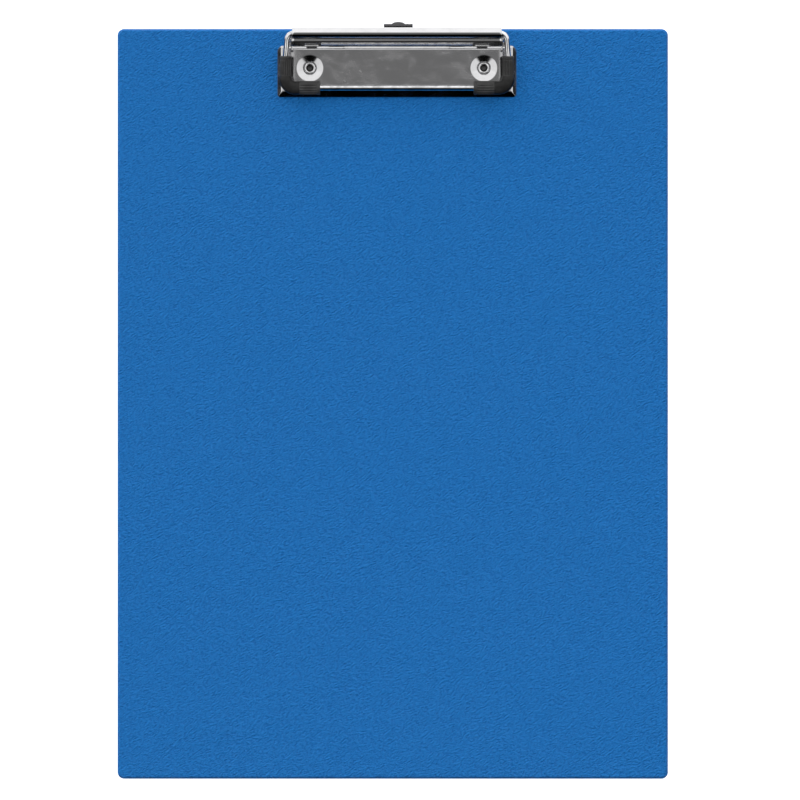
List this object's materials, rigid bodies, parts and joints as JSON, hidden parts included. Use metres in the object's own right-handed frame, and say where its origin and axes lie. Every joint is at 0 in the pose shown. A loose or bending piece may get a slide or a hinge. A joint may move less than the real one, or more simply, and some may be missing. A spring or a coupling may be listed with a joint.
{
  "type": "clipboard",
  "caption": "Film-covered clipboard with a low-profile sprung wire clip, rubber corner grips and a slide-out hanging tab.",
  "frame": {"origin": "middle of the board's flat back face", "axes": "+Y towards the clip end, +Z out of the writing face, +X to the right seen from the front"},
  "size_m": [0.229, 0.315, 0.0136],
  "materials": {
    "blue_film": "fine leather grain, semi-matt",
    "greyboard": "raw pressed board",
    "nickel_plate": "bright nickel plated sheet",
    "plated_wire": "bright nickel plated wire and rod",
    "rivet_metal": "bright plated, slightly worn",
    "spring_steel": "oiled drawn wire",
    "grip_rubber": "moulded, satin",
    "tab_steel": "dark plated sheet"
  },
  "bodies": {
    "base": {"core_board": "greyboard", "front_cover": "blue_film", "back_cover": "blue_film", "base_plate": "nickel_plate", "hinge_rod": "plated_wire", "spring_left": "spring_steel", "spring_right": "spring_steel", "rivet_left": "rivet_metal", "rivet_right": "rivet_metal"},
    "jaw": {"lever": "nickel_plate", "jaw_wire": "plated_wire", "grip_left": "grip_rubber", "grip_right": "grip_rubber"},
    "hanger": {"hanger_tab": "tab_steel"}
  },
  "joints": [
    {"name": "jaw_hinge", "type": "hinge", "parent": "base", "child": "jaw", "pos_m": [0.0017, 0.1515, 0.007], "axis": [-1, 0, 0], "range_deg": [0, 40], "stiffness_Nm_per_rad": 0.35, "springref_deg": -45.84, "deforming": ["spring_left", "spring_right"]},
    {"name": "hanger_slide", "type": "slide", "parent": "base", "child": "hanger", "axis": [0, 1, 0], "range_m": [0, 0.018]}
  ]
}
